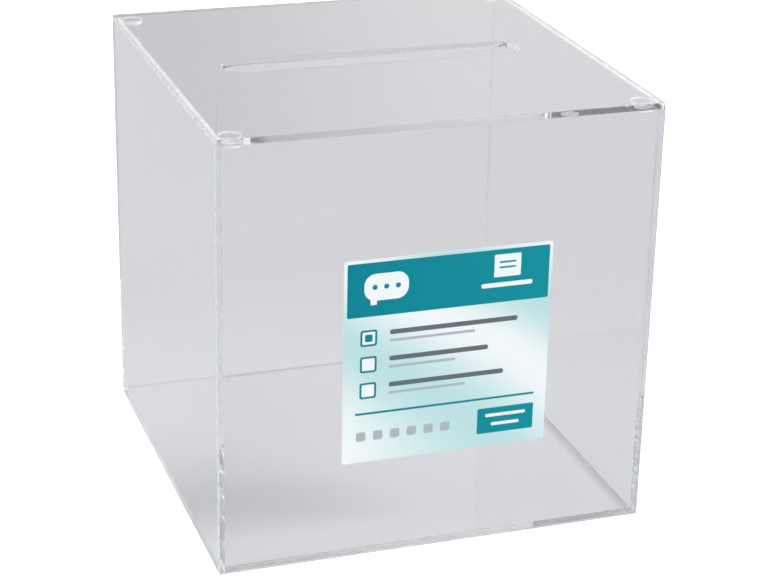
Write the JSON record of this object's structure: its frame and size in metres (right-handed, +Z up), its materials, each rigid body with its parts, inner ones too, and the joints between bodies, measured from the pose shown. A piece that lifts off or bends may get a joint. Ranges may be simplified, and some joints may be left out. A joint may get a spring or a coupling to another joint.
{
  "type": "ballot box",
  "caption": "Clear acrylic box with a loose lid that has a round-ended posting slot, small discs that keep the lid in place, and a square printed label on the front.",
  "frame": {"origin": "on the surface the box stands on, under the middle of the box", "axes": "+Z up out of the lid, +X to the right of someone facing the front, -Y out of the labelled front wall"},
  "size_m": [0.21, 0.2102, 0.21],
  "materials": {
    "clear_acrylic": "polished",
    "printed_label": "satin"
  },
  "bodies": {
    "box": {"front_wall": "clear_acrylic", "back_wall": "clear_acrylic", "left_wall": "clear_acrylic", "right_wall": "clear_acrylic", "base_plate": "clear_acrylic", "front_label": "printed_label"},
    "lid": {"lid": "clear_acrylic", "locating_disc_front_left": "clear_acrylic", "locating_disc_front_right": "clear_acrylic", "locating_disc_back_left": "clear_acrylic", "locating_disc_back_right": "clear_acrylic"}
  },
  "joints": [
    {"name": "lid_lift", "type": "slide", "parent": "box", "child": "lid", "axis": [0, 0, 1], "range_m": [0, 0.25]}
  ]
}
